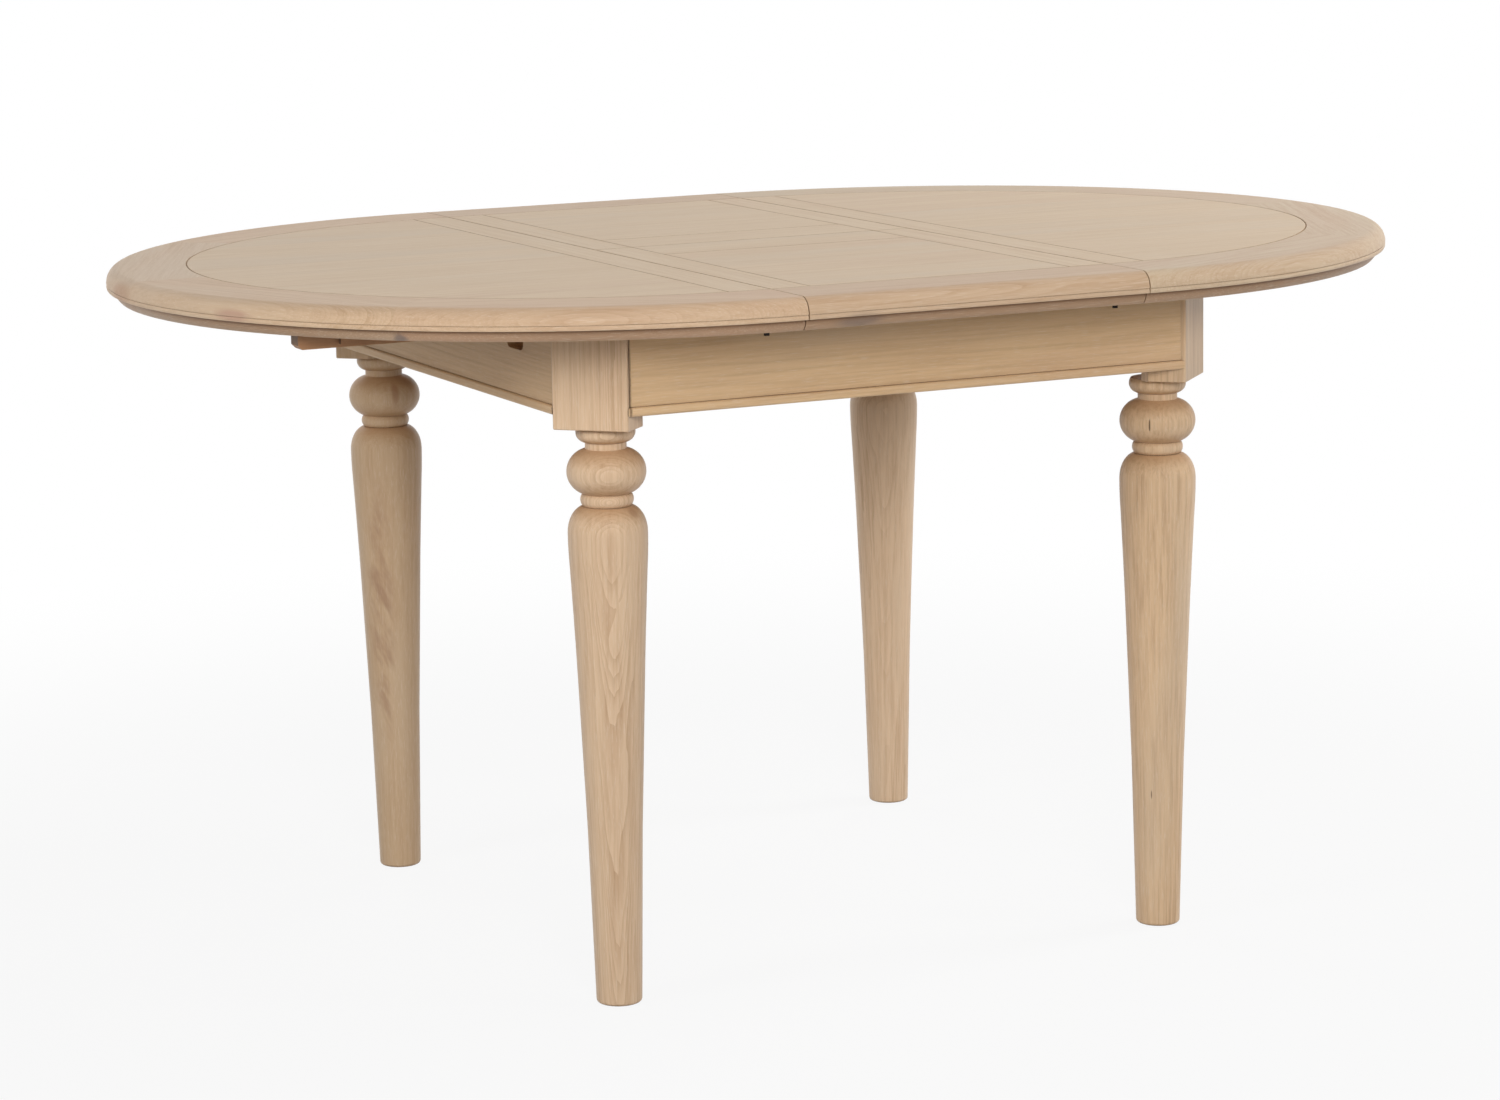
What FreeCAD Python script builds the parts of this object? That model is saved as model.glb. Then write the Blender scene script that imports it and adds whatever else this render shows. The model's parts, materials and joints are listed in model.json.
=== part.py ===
import FreeCAD, Part
import math
import os

# Extending oval dining table in pale limed oak.
# Two half-round ends ride on wooden runners in a square frame on four turned legs, and a leaf in two
# hinged halves lies between the ends. The table stands extended, with its leaf in place.
# The origin is on the floor under the middle of the table: X along it, Y from front to back, Z up.
# All sizes are in millimetres.

# Top: half-round ends and leaf
top_diameter = 1100.0
leaf_length = 400.0
table_height = 775.0
round_over_width = 16.0
round_over_depth = 17.5
quirk_height = 0.9
quirk_depth = 1.2
rim_bead_height = 4.6
rim_bead_bulge = 0.6
rim_border_width = 90.0
seam_strip_width = 46.0
fold_strip_width = 90.0
groove_chamfer = 0.8
panel_gap = 0.2
seam_gap = 0.8
fold_gap = 0.4

# Moulding under the rim
moulding_height = 12.0
moulding_width = 30.0
moulding_set_back = 8.0
moulding_slope = 6.0
moulding_bulge = 1.6

# Legs
leg_spacing_x = 672.0
leg_spacing_y = 672.0
block_width = 85.0
block_height = 110.0
block_easing = 2.0
block_bottom_easing = 1.5
block_inner_depth = 10.0
block_clip = 10.0
ring_height = 17.0
ring_radius = 31.8
ring_crown = 6.0
ring_edge = 2.0
neck_height = 7.0
neck_radius = 22.0
ball_height = 47.5
ball_radius = 42.3
ball_foot_radius = 26.0
collar_height = 13.2
collar_bulge = 2.4
vase_neck_radius = 23.0
shoulder_height = 29.0
vase_radius = 42.6
swell_height = 39.0
swell_taper = 1.4
waist_radius = 31.1
foot_radius = 24.8
foot_easing = 4.0

# Aprons and the bead strip under each
frame_gap = 2.0
apron_height = 84.5
apron_thickness = 22.0
apron_set_back = 3.0
apron_end_gap = 0.6
bead_strip_height = 10.0
bead_strip_projection = 3.0
bead_strip_round = 2.8

# Runners of the ends, in pairs side by side, and the guides that carry them
runner_spread = 460.0
runner_width = 22.0
runner_height = 31.0
runner_pair_gap = 1.0
runner_side_gap = 0.5
runner_end_gap = 1.0
runner_overlap = 50.0
runner_relief = 0.3
runner_end_bevel = 4.5
tongue_set_in = 45.0
tongue_width = 6.0
tongue_height = 7.4
tongue_drop = 20.0
tongue_clearance = 0.3
guide_width = 21.0
guide_height = 36.0
notch_corner_radius = 8.0

# Rail across the frame that holds the guides up and stops the runners
cross_rail_width = 24.0
cross_rail_height = 36.0
release_travel = 40.0
peg_diameter = 10.0
peg_depth = 15.0
peg_length = 29.0
peg_stop_gap = 0.3

# Screws that hold each runner under its end
screws_per_runner = 4
screw_diameter = 4.5
screw_head_diameter = 9.0
screw_head_height = 4.0
screw_bite = 14.0
screw_end_margin = 30.0
hole_clearance = 0.15

# Diagonal corner braces, each with two bolts into the leg
brace_thickness = 28.0
brace_height = 48.0
brace_drop = 2.0
bolts_per_leg = 2
bolt_pitch = 24.0
bolt_diameter = 8.0
bolt_bite = 35.0
bolt_end = 3.0
washer_diameter = 24.0
washer_thickness = 2.0
nut_width = 13.0
nut_height = 6.5

# Barrel hinges let into the fold edges of the leaf
hinge_pitch = 110.0
hinge_count = 3
barrel_diameter = 12.0
barrel_length = 18.0
barrel_slot_width = 3.0
barrel_slot_depth = 10.0

# Leaf locks: a hook under each end turns on a screw and catches a pin under the leaf
lock_inset = 76.0
lock_set_back = 7.0
lock_reach = 28.0
hook_width = 13.0
hook_thickness = 4.0
hook_lip = 7.0
hook_gap = 0.5
hook_clearance = 0.3
finger_peg_diameter = 6.0
finger_peg_length = 20.0
finger_peg_offset = 10.0
lock_screw_diameter = 5.0
lock_screw_bite = 14.0
lock_screw_head_diameter = 10.0
lock_screw_head_height = 3.0
lock_pin_diameter = 5.0
lock_pin_drop = 8.0
lock_pin_depth = 12.0

# Sizes worked out from the ones above
rim_radius = top_diameter / 2
seam_x = leaf_length / 2
board_thickness = round_over_depth + quirk_height + rim_bead_height
board_bottom = table_height - board_thickness
field_radius = rim_radius - rim_border_width
moulding_bottom = board_bottom - moulding_height
moulding_outer = rim_radius - moulding_set_back
moulding_inner = moulding_outer - moulding_width
frame_top = moulding_bottom - frame_gap
leg_x = leg_spacing_x / 2
leg_y = leg_spacing_y / 2
half_block = block_width / 2
block_corner = half_block * math.sqrt(2)
apron_outer = block_corner - apron_set_back
apron_inner = apron_outer - apron_thickness
apron_bottom = frame_top - apron_height
runner_bottom = board_bottom - runner_height
runner_past_seam = leaf_length + runner_overlap
guide_bottom = frame_top - guide_height
pair_middle = runner_spread / 2
notch_half_width = runner_pair_gap / 2 + runner_width + runner_side_gap
tongue_top = board_bottom - tongue_drop
groove_top = tongue_top + tongue_clearance
groove_bottom = tongue_top - tongue_height - tongue_clearance
groove_depth = tongue_width - runner_side_gap + tongue_clearance
bore_clearance = 2 * hole_clearance
hook_top = board_bottom - hook_gap
hook_bottom = hook_top - hook_thickness
lock_x = seam_x + lock_set_back
lock_y = rim_radius - lock_inset
lock_pin_x = lock_x - lock_reach

UP = FreeCAD.Vector(0, 0, 1)
ORIGIN = FreeCAD.Vector(0, 0, 0)
os.makedirs("parts", exist_ok=True)


def save(node, *solids):
    shape = solids[0] if len(solids) == 1 else Part.makeCompound(list(solids))
    shape.exportStep("parts/" + node + ".step")


def box(x0, x1, y0, y1, z0, z1):
    return Part.makeBox(x1 - x0, y1 - y0, z1 - z0, FreeCAD.Vector(x0, y0, z0))


def prism(points, z0, z1):
    """Upright prism on a plan outline given as (x, y) points."""
    corners = [FreeCAD.Vector(x, y, z0) for x, y in points]
    face = Part.Face(Part.makePolygon(corners + corners[:1]))
    return face.extrude(FreeCAD.Vector(0, 0, z1 - z0))


def turned(shape, degrees, x=0.0, y=0.0):
    """Copy of a shape turned about the upright axis at the origin, then carried to (x, y)."""
    copy = shape.copy()
    copy.rotate(ORIGIN, UP, degrees)
    copy.translate(FreeCAD.Vector(x, y, 0))
    return copy


def line(a, b):
    return Part.LineSegment(FreeCAD.Vector(*a), FreeCAD.Vector(*b)).toShape()


def arc(a, b, c):
    return Part.Arc(FreeCAD.Vector(*a), FreeCAD.Vector(*b), FreeCAD.Vector(*c)).toShape()


def slow_curve(start, middle, end):
    """Nearly straight curve from start to end that passes through the middle point halfway."""
    start, middle, end = [FreeCAD.Vector(*point) for point in (start, middle, end)]
    curve = Part.BezierCurve()
    curve.setPoles([start, middle * 2 - (start + end) * 0.5, end])
    return curve.toShape()


def quarter_ellipse(centre, toward_start, toward_end):
    """Quarter of an ellipse from centre + toward_start to centre + toward_end, in the XZ plane."""
    middle = FreeCAD.Vector(*centre)
    start = FreeCAD.Vector(*toward_start)
    end = FreeCAD.Vector(*toward_end)
    ends = sorted((start, end), key=lambda half_axis: half_axis.Length)
    ellipse = Part.Ellipse(middle + ends[1], middle + ends[0], middle)
    first = ellipse.parameter(middle + start)
    last = ellipse.parameter(middle + end)
    if (last - first) % (2 * math.pi) > math.pi:
        first, last = last, first
    return Part.ArcOfEllipse(ellipse, first, last).toShape()


def chamfered_top(solid, top):
    """The solid with every edge of its top face bevelled, as a fine V-grooved panel is."""
    edges = [edge for edge in solid.Edges if abs(edge.BoundBox.ZMin - top) < 1e-6]
    return solid.makeChamfer(groove_chamfer, edges)


# Edge profile of the top, drawn at the given distance from the axis or middle line.
# From the top down: round-over, fine quirk and bead.
def rim_profile(inner, outer):
    top = table_height
    quirk = top - round_over_depth
    bead_top = quirk - quirk_height
    bead_middle = bead_top - rim_bead_height / 2
    edges = [
        line((inner, 0, board_bottom), (inner, 0, top - groove_chamfer)),
        line((inner, 0, top - groove_chamfer), (inner + groove_chamfer, 0, top)),
        line((inner + groove_chamfer, 0, top), (outer - round_over_width, 0, top)),
        quarter_ellipse(
            (outer - round_over_width, 0, quirk), (0, 0, round_over_depth), (round_over_width, 0, 0)),
        line((outer, 0, quirk), (outer - quirk_depth, 0, quirk)),
        line((outer - quirk_depth, 0, quirk), (outer - quirk_depth, 0, bead_top)),
        line((outer - quirk_depth, 0, bead_top), (outer - rim_bead_bulge, 0, bead_top)),
        arc((outer - rim_bead_bulge, 0, bead_top), (outer, 0, bead_middle),
            (outer - rim_bead_bulge, 0, board_bottom)),
        line((outer - rim_bead_bulge, 0, board_bottom), (inner, 0, board_bottom)),
    ]
    return Part.Face(Part.Wire(Part.__sortEdges__(edges)))


# Section of the moulding under the rim: a crowned outer face that slopes inward to its lower edge.
def moulding_profile(outer):
    inner = outer - moulding_width
    lower = outer - moulding_slope
    middle = (outer + lower) / 2 + moulding_bulge
    half_way = board_bottom - moulding_height / 2
    edges = [
        line((inner, 0, moulding_bottom), (inner, 0, board_bottom)),
        line((inner, 0, board_bottom), (outer, 0, board_bottom)),
        arc((outer, 0, board_bottom), (middle, 0, half_way), (lower, 0, moulding_bottom)),
        line((lower, 0, moulding_bottom), (inner, 0, moulding_bottom)),
    ]
    return Part.Face(Part.Wire(Part.__sortEdges__(edges)))


def half_ring(face):
    """The section swept round the left half circle, about the upright axis at the origin."""
    section = face.copy()
    section.rotate(ORIGIN, UP, 90)
    return section.revolve(ORIGIN, UP, 180)


# Runners lie in two pairs. Each end owns the outer runner of one pair and the inner one of the other.
# A runner is described for the left end, at y0 to y1, with its tongue on the side away from its partner.
def runner_span(outer_of_pair, side):
    near = pair_middle + runner_pair_gap / 2 if outer_of_pair else pair_middle - runner_pair_gap / 2
    far = near + runner_width if outer_of_pair else near - runner_width
    low, high = sorted((side * near, side * far))
    return low, high


def runner_outer_end(low, high):
    """Where the runner stops, short of the moulding's inner face."""
    reach = moulding_inner - runner_end_gap
    widest = max(abs(low), abs(high))
    return -seam_x - math.sqrt(reach * reach - widest * widest)


def screw(x, y, extra=0.0):
    """Countersunk screw driven up through a runner, or the hole for it."""
    head = screw_head_diameter / 2 + extra
    shank = screw_diameter / 2 + extra
    start = FreeCAD.Vector(x, y, runner_bottom)
    length = runner_height + screw_bite + extra
    cone = Part.makeCone(head, shank, screw_head_height, start)
    return cone.fuse(Part.makeCylinder(shank, length, start)).removeSplitter()


def screw_places(low, high):
    first = runner_outer_end(low, high) + runner_end_bevel + screw_end_margin
    last = -seam_x - screw_end_margin
    step = (last - first) / (screws_per_runner - 1)
    return [(first + step * i, (low + high) / 2) for i in range(screws_per_runner)]


def peg(y, extra=0.0):
    """Stop peg under a runner's tail. It meets the cross rail at the end of the release travel."""
    x = cross_rail_width / 2 + peg_stop_gap + release_travel + peg_diameter / 2
    start = FreeCAD.Vector(x, y, runner_bottom - peg_length)
    return Part.makeCylinder(peg_diameter / 2 + extra, peg_length + peg_depth + extra, start)


def runner(outer_of_pair, side):
    low, high = runner_span(outer_of_pair, side)
    end = runner_outer_end(low, high)
    tail = -seam_x + runner_past_seam
    solid = box(end, tail, low, high, runner_bottom, board_bottom)
    relief_top = board_bottom - runner_relief
    solid = solid.cut(box(-seam_x, tail, low, high, relief_top, board_bottom))
    bevel = Part.makePolygon([
        FreeCAD.Vector(end, low, runner_bottom),
        FreeCAD.Vector(end, low, runner_bottom + runner_end_bevel),
        FreeCAD.Vector(end + runner_end_bevel, low, runner_bottom),
        FreeCAD.Vector(end, low, runner_bottom)])
    solid = solid.cut(Part.Face(bevel).extrude(FreeCAD.Vector(0, high - low, 0)))
    tongue_side = side if outer_of_pair else -side
    edge = high if tongue_side > 0 else low
    tongue_low, tongue_high = sorted((edge, edge + tongue_side * tongue_width))
    tongue_start = end + tongue_set_in
    tongue_bottom = tongue_top - tongue_height
    solid = solid.fuse(box(tongue_start, tail, tongue_low, tongue_high, tongue_bottom, tongue_top))
    for x, y in screw_places(low, high):
        solid = solid.cut(screw(x, y, hole_clearance))
    solid = solid.cut(peg((low + high) / 2, hole_clearance))
    return solid.removeSplitter()


# Lock hook, drawn with its pivot at the origin and its arm open along +Y. It closes towards +X, where a
# slot in its leading side takes in the pin of the leaf.
def lock_hook():
    pivot = FreeCAD.Vector(0, 0, hook_bottom)
    half_slot = lock_pin_diameter / 2 + hook_clearance
    hook = Part.makeCylinder(hook_width / 2, hook_thickness, pivot)
    tip = lock_reach + hook_lip
    hook = hook.fuse(box(-hook_width / 2, hook_width / 2, 0, tip, hook_bottom, hook_top))
    slot = Part.makeCylinder(lock_reach + half_slot, hook_thickness, pivot)
    slot = slot.cut(Part.makeCylinder(lock_reach - half_slot, hook_thickness, pivot))
    slot = slot.common(box(0, hook_width, 0, tip, hook_bottom, hook_top))
    slot_end = FreeCAD.Vector(0, lock_reach, hook_bottom)
    hook = hook.cut(slot).cut(Part.makeCylinder(half_slot, hook_thickness, slot_end))
    hook = hook.cut(Part.makeCylinder(lock_screw_diameter / 2 + hook_clearance, hook_thickness, pivot))
    peg_start = FreeCAD.Vector(0, finger_peg_offset, hook_bottom - finger_peg_length)
    finger_peg = Part.makeCylinder(finger_peg_diameter / 2, finger_peg_length, peg_start)
    return hook.fuse(finger_peg).removeSplitter()


def lock_screw(x, y, extra=0.0):
    """Shouldered screw that a hook turns on, or the hole for it."""
    head_top = hook_bottom - hook_clearance
    head_bottom = FreeCAD.Vector(x, y, head_top - lock_screw_head_height)
    length = board_bottom + lock_screw_bite - head_bottom.z + extra
    shank = Part.makeCylinder(lock_screw_diameter / 2 + extra, length, head_bottom)
    head = Part.makeCylinder(lock_screw_head_diameter / 2, lock_screw_head_height, head_bottom)
    return shank.fuse(head).removeSplitter()


def lock_pin(x, y, extra=0.0):
    """Pin under the leaf that a hook catches, or the hole for it."""
    start = FreeCAD.Vector(x, y, board_bottom - lock_pin_drop)
    return Part.makeCylinder(lock_pin_diameter / 2 + extra, lock_pin_drop + lock_pin_depth + extra, start)


# Half-round end, built for the left and turned half round for the right.
# The pieces are a curved rim, a seam strip and a field panel, glued edge to edge, with a moulding under
# the rim and two runners screwed on.
def half_round_end():
    pieces = {}
    rim = half_ring(rim_profile(field_radius, rim_radius))
    moulding = half_ring(moulding_profile(moulding_outer))
    disc = Part.makeCylinder(field_radius - panel_gap, board_thickness,
                             FreeCAD.Vector(0, 0, board_bottom))
    reach = rim_radius + rim_border_width
    strip_edge = -seam_strip_width
    strip = disc.common(box(strip_edge + panel_gap / 2, 0, -reach, reach, board_bottom, table_height))
    field = disc.common(box(-reach, strip_edge - panel_gap / 2, -reach, reach, board_bottom, table_height))
    pieces["rim"] = rim
    pieces["seam_strip"] = chamfered_top(strip, table_height)
    pieces["field"] = chamfered_top(field, table_height)
    pieces["rim_moulding"] = moulding
    for name in pieces:
        pieces[name] = turned(pieces[name], 0, -seam_x)
    screws = []
    pegs = []
    for name, outer_of_pair, side in (("front_runner", True, -1), ("back_runner", False, 1)):
        low, high = runner_span(outer_of_pair, side)
        pieces[name] = runner(outer_of_pair, side)
        pegs.append(peg((low + high) / 2))
        for x, y in screw_places(low, high):
            screws.append(screw(x, y))
            hole = screw(x, y, hole_clearance)
            for board in ("rim", "seam_strip", "field"):
                pieces[board] = pieces[board].cut(hole)
    for y in (-lock_y, lock_y):
        screws.append(lock_screw(-lock_x, y))
        pieces["rim"] = pieces["rim"].cut(lock_screw(-lock_x, y, hole_clearance))
    pieces["screws"] = Part.makeCompound(screws)
    pieces["stop_pegs"] = Part.makeCompound(pegs)
    return pieces


for name, shape in half_round_end().items():
    save("left_" + name, shape)
    opposite = {"front_runner": "back_runner", "back_runner": "front_runner"}.get(name, name)
    save("right_" + opposite, turned(shape, 180))


# Hooks of the leaf locks, two to each end, open as the leaf is lifted out
hook_shape = lock_hook()
for side_name, sx in (("left", -1), ("right", 1)):
    for row_name, sy in (("front", -1), ("back", 1)):
        hook = hook_shape
        if sx > 0:
            hook = hook.mirror(ORIGIN, FreeCAD.Vector(1, 0, 0))
        if sy > 0:
            hook = hook.mirror(ORIGIN, FreeCAD.Vector(0, 1, 0))
        save(row_name + "_" + side_name + "_lock_hook", turned(hook, 0, sx * lock_x, sy * lock_y))


# Half of the folding leaf, built at the front. The back half is the same half turned end for end.
# Its border carries the rim's profile, and its fold edge holds the barrels of the hinges.
def barrels(extra=0.0):
    middle = (table_height + board_bottom) / 2
    row = []
    for i in range(hinge_count):
        x = hinge_pitch * (i - (hinge_count - 1) / 2)
        start = FreeCAD.Vector(x, -fold_gap / 2, middle)
        back = FreeCAD.Vector(0, -1, 0)
        row.append(Part.makeCylinder(barrel_diameter / 2 + extra, barrel_length + extra, start, back))
    return row


def slotted(barrel):
    bounds = barrel.BoundBox
    x = bounds.Center.x
    slot = box(x - barrel_slot_width / 2, x + barrel_slot_width / 2,
               bounds.YMax - barrel_slot_depth, bounds.YMax, bounds.ZMin, bounds.ZMax)
    return barrel.cut(slot)


def leaf_half():
    end = seam_x - seam_gap
    inside = seam_x - seam_strip_width
    border_edge = -field_radius
    fold_edge = -fold_gap / 2
    fold_line = -fold_strip_width

    def along_x(face):
        section = face.copy()
        section.rotate(ORIGIN, UP, -90)
        section.translate(FreeCAD.Vector(-end, 0, 0))
        return section.extrude(FreeCAD.Vector(2 * end, 0, 0))

    def board(x0, x1, y0, y1):
        return chamfered_top(box(x0, x1, y0, y1, board_bottom, table_height), table_height)

    gap = panel_gap / 2
    pieces = {
        "border": along_x(rim_profile(field_radius, rim_radius)),
        "moulding": along_x(moulding_profile(moulding_outer)),
        "left_strip": board(-end, -inside - gap, border_edge + panel_gap, fold_edge),
        "right_strip": board(inside + gap, end, border_edge + panel_gap, fold_edge),
        "field": board(-inside + gap, inside - gap, border_edge + panel_gap, fold_line - gap),
        "fold_strip": board(-inside + gap, inside - gap, fold_line + gap, fold_edge),
    }
    for barrel in barrels(hole_clearance):
        pieces["fold_strip"] = pieces["fold_strip"].cut(barrel)
    pieces["hinge_barrels"] = Part.makeCompound([slotted(barrel) for barrel in barrels()])
    lock_pins = []
    for x in (-lock_pin_x, lock_pin_x):
        lock_pins.append(lock_pin(x, -lock_y))
        pieces["border"] = pieces["border"].cut(lock_pin(x, -lock_y, hole_clearance))
    pieces["lock_pins"] = Part.makeCompound(lock_pins)
    return pieces


for name, shape in leaf_half().items():
    save("leaf_front_" + name, shape)
    mirrored = {"left_strip": "right_strip", "right_strip": "left_strip"}.get(name, name)
    save("leaf_back_" + mirrored, turned(shape, 180))


# Leg: a turned shaft under a square block. The block stands cornerwise to the table, and its inner side
# is cut back to a flat that seats on the corner brace. Drawn with its outward corner along +X.
def leg_profile():
    block_bottom = frame_top - block_height
    ring_bottom = block_bottom - ring_height
    ball_top = ring_bottom - neck_height
    ball_middle = ball_top - ball_height / 2
    ball_bottom = ball_top - ball_height
    collar_bottom = ball_bottom - collar_height
    vase_top = collar_bottom - shoulder_height
    swell_bottom = vase_top - swell_height
    swell_radius = vase_radius - swell_taper
    swell_middle = vase_radius - swell_taper / 4
    collar_radius = ball_foot_radius + collar_bulge
    easing = foot_easing * (1 - math.sqrt(0.5))
    edges = [
        line((0, 0, 0), (foot_radius - foot_easing, 0, 0)),
        arc((foot_radius - foot_easing, 0, 0), (foot_radius - easing, 0, easing),
            (foot_radius, 0, foot_easing)),
        slow_curve((foot_radius, 0, foot_easing), (waist_radius, 0, (foot_easing + swell_bottom) / 2),
                   (swell_radius, 0, swell_bottom)),
        arc((swell_radius, 0, swell_bottom), (swell_middle, 0, (swell_bottom + vase_top) / 2),
            (vase_radius, 0, vase_top)),
        quarter_ellipse((vase_neck_radius, 0, vase_top), (vase_radius - vase_neck_radius, 0, 0),
                        (0, 0, shoulder_height)),
        line((vase_neck_radius, 0, collar_bottom), (ball_foot_radius, 0, collar_bottom)),
        arc((ball_foot_radius, 0, collar_bottom), (collar_radius, 0, (collar_bottom + ball_bottom) / 2),
            (ball_foot_radius, 0, ball_bottom)),
        arc((ball_foot_radius, 0, ball_bottom), (ball_radius, 0, ball_middle),
            (neck_radius, 0, ball_top)),
        line((neck_radius, 0, ball_top), (neck_radius, 0, ring_bottom)),
        arc((neck_radius, 0, ring_bottom), (ring_radius, 0, block_bottom - ring_crown),
            (ring_radius - ring_edge, 0, block_bottom)),
        line((ring_radius - ring_edge, 0, block_bottom), (0, 0, block_bottom)),
        line((0, 0, block_bottom), (0, 0, 0)),
    ]
    return Part.Face(Part.Wire(Part.__sortEdges__(edges)))


def leg():
    block_bottom = frame_top - block_height
    shaft = leg_profile().revolve(ORIGIN, UP, 360)
    outline = [
        (half_block, -half_block),
        (half_block, half_block),
        (-block_inner_depth + block_clip, half_block),
        (-block_inner_depth, half_block - block_clip),
        (-block_inner_depth, -half_block + block_clip),
        (-block_inner_depth + block_clip, -half_block),
    ]
    block = prism(outline, block_bottom, frame_top)
    arrises = [edge for edge in block.Edges
               if abs(edge.BoundBox.XMin - half_block) < 1e-6 and edge.BoundBox.ZLength > block_height / 2]
    block = block.makeFillet(block_easing, arrises)
    lower_edges = [edge for edge in block.Edges
                   if edge.BoundBox.ZMax < block_bottom + 1e-6 and edge.BoundBox.XMax > half_block / 2]
    block = block.makeFillet(block_bottom_easing, lower_edges)
    solid = shaft.fuse(block)
    for bolt_hole in bolts(bore_clearance):
        solid = solid.cut(bolt_hole)
    return solid.removeSplitter()


# Fixings at a corner, drawn with the outward corner along +X: bolts, washers and nuts on the brace.
brace_top = guide_bottom - brace_drop
brace_middle = brace_top - brace_height / 2
brace_back = -block_inner_depth - brace_thickness


def bolt_heights():
    first = brace_middle - bolt_pitch * (bolts_per_leg - 1) / 2
    return [first + bolt_pitch * i for i in range(bolts_per_leg)]


def bolts(extra=0.0):
    start = brace_back - washer_thickness - nut_height - bolt_end
    length = bolt_bite - block_inner_depth - start
    along = FreeCAD.Vector(1, 0, 0)
    return [Part.makeCylinder((bolt_diameter + extra) / 2, length + extra / 2,
                              FreeCAD.Vector(start, 0, z), along) for z in bolt_heights()]


def washers():
    along = FreeCAD.Vector(-1, 0, 0)
    row = []
    for z in bolt_heights():
        disc = Part.makeCylinder(washer_diameter / 2, washer_thickness,
                                 FreeCAD.Vector(brace_back, 0, z), along)
        row.append(disc)
    return [disc.cut(Part.makeCompound(bolts(bore_clearance))) for disc in row]


def nuts():
    row = []
    corner = nut_width / math.sqrt(3)
    for z in bolt_heights():
        angles = [math.radians(60 * i) for i in range(7)]
        face_x = brace_back - washer_thickness
        points = [FreeCAD.Vector(face_x, corner * math.cos(a), z + corner * math.sin(a)) for a in angles]
        hexagon = Part.Face(Part.makePolygon(points))
        nut = hexagon.extrude(FreeCAD.Vector(-nut_height, 0, 0))
        row.append(nut.cut(Part.makeCompound(bolts(bore_clearance))))
    return row


def brace(sx, sy):
    """Diagonal brace between the two aprons of a corner, seated on the flat of the leg block."""
    near = math.sqrt(2) * block_inner_depth + apron_inner
    far = math.sqrt(2) * (block_inner_depth + brace_thickness) + apron_inner
    offsets = [(apron_inner, -near), (apron_inner, -far), (-far, apron_inner), (-near, apron_inner)]
    points = [(sx * (leg_x + dx), sy * (leg_y + dy)) for dx, dy in offsets]
    return prism(points, brace_top - brace_height, brace_top)


corners = {
    "front_left": (-1, -1),
    "front_right": (1, -1),
    "back_left": (-1, 1),
    "back_right": (1, 1),
}
leg_shape = leg()
bolt_group = []
washer_group = []
nut_group = []
for corner_name, (sx, sy) in corners.items():
    outward = math.degrees(math.atan2(sy, sx))
    place = (outward, sx * leg_x, sy * leg_y)
    save(corner_name + "_leg", turned(leg_shape, *place))
    corner_brace = brace(sx, sy)
    for bolt_hole in bolts(bore_clearance):
        corner_brace = corner_brace.cut(turned(bolt_hole, *place))
    save(corner_name + "_brace", corner_brace)
    bolt_group += [turned(piece, *place) for piece in bolts()]
    washer_group += [turned(piece, *place) for piece in washers()]
    nut_group += [turned(piece, *place) for piece in nuts()]
save("corner_bolts", *bolt_group)
save("corner_washers", *washer_group)
save("corner_nuts", *nut_group)


# Aprons: boards between the leg blocks, mitred to the blocks' sides, each with a bead strip under it.
# Drawn at the front and turned to the other sides. The end aprons are notched for the runners.
def apron_outline(half_length, depth, projection):
    end = half_length - apron_set_back - apron_end_gap * math.sqrt(2)
    outer = -depth - apron_outer - projection
    inner = -depth - apron_inner
    outer_end = end + projection
    inner_end = end - apron_thickness
    return [(-outer_end, outer), (outer_end, outer), (inner_end, inner), (-inner_end, inner)]


def notch(depth, middle):
    """Round-cornered notch for a pair of runners, with a slot on each side for their tongues."""
    low = middle - notch_half_width
    high = middle + notch_half_width
    front = -depth - apron_outer
    back = front + apron_thickness
    opening = box(low, high, front, back, guide_bottom, frame_top)
    lower_edges = [edge for edge in opening.Edges
                   if edge.BoundBox.ZMax < guide_bottom + 1e-6
                   and edge.BoundBox.YLength > apron_thickness / 2]
    opening = opening.makeFillet(notch_corner_radius, lower_edges)
    return opening.fuse(box(low - groove_depth, high + groove_depth, front, back, groove_bottom, groove_top))


def bead_strip(half_length, depth):
    bottom = apron_bottom - bead_strip_height
    strip = prism(apron_outline(half_length, depth, bead_strip_projection), bottom, apron_bottom)
    front = -depth - apron_outer - bead_strip_projection
    long_edges = [edge for edge in strip.Edges
                  if abs(edge.BoundBox.YMax - front) < 1e-6 and edge.BoundBox.XLength > half_length]
    return strip.makeFillet(bead_strip_round, long_edges)


sides = (("front", 0, leg_x, leg_y), ("right", 90, leg_y, leg_x),
         ("back", 180, leg_x, leg_y), ("left", 270, leg_y, leg_x))
for side_name, degrees, half_length, depth in sides:
    board = prism(apron_outline(half_length, depth, 0.0), apron_bottom, frame_top)
    if side_name in ("left", "right"):
        for middle in (-pair_middle, pair_middle):
            board = board.cut(notch(depth, middle))
    save(side_name + "_apron", turned(board, degrees))
    save(side_name + "_apron_bead", turned(bead_strip(half_length, depth), degrees))


# Guides: grooved rails from end apron to end apron, one on each side of each pair of runners.
def guide(side, outer_of_pair):
    half_length = leg_x + apron_inner
    face = pair_middle + notch_half_width if outer_of_pair else pair_middle - notch_half_width
    back = face + guide_width if outer_of_pair else face - guide_width
    groove_end = face + groove_depth if outer_of_pair else face - groove_depth
    low, high = sorted((side * face, side * back))
    groove_low, groove_high = sorted((side * face, side * groove_end))
    rail = box(-half_length, half_length, low, high, guide_bottom, frame_top)
    return rail.cut(box(-half_length, half_length, groove_low, groove_high, groove_bottom, groove_top))


for side_name, side in (("front", -1), ("back", 1)):
    save(side_name + "_outer_guide", guide(side, True))
    save(side_name + "_inner_guide", guide(side, False))

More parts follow.
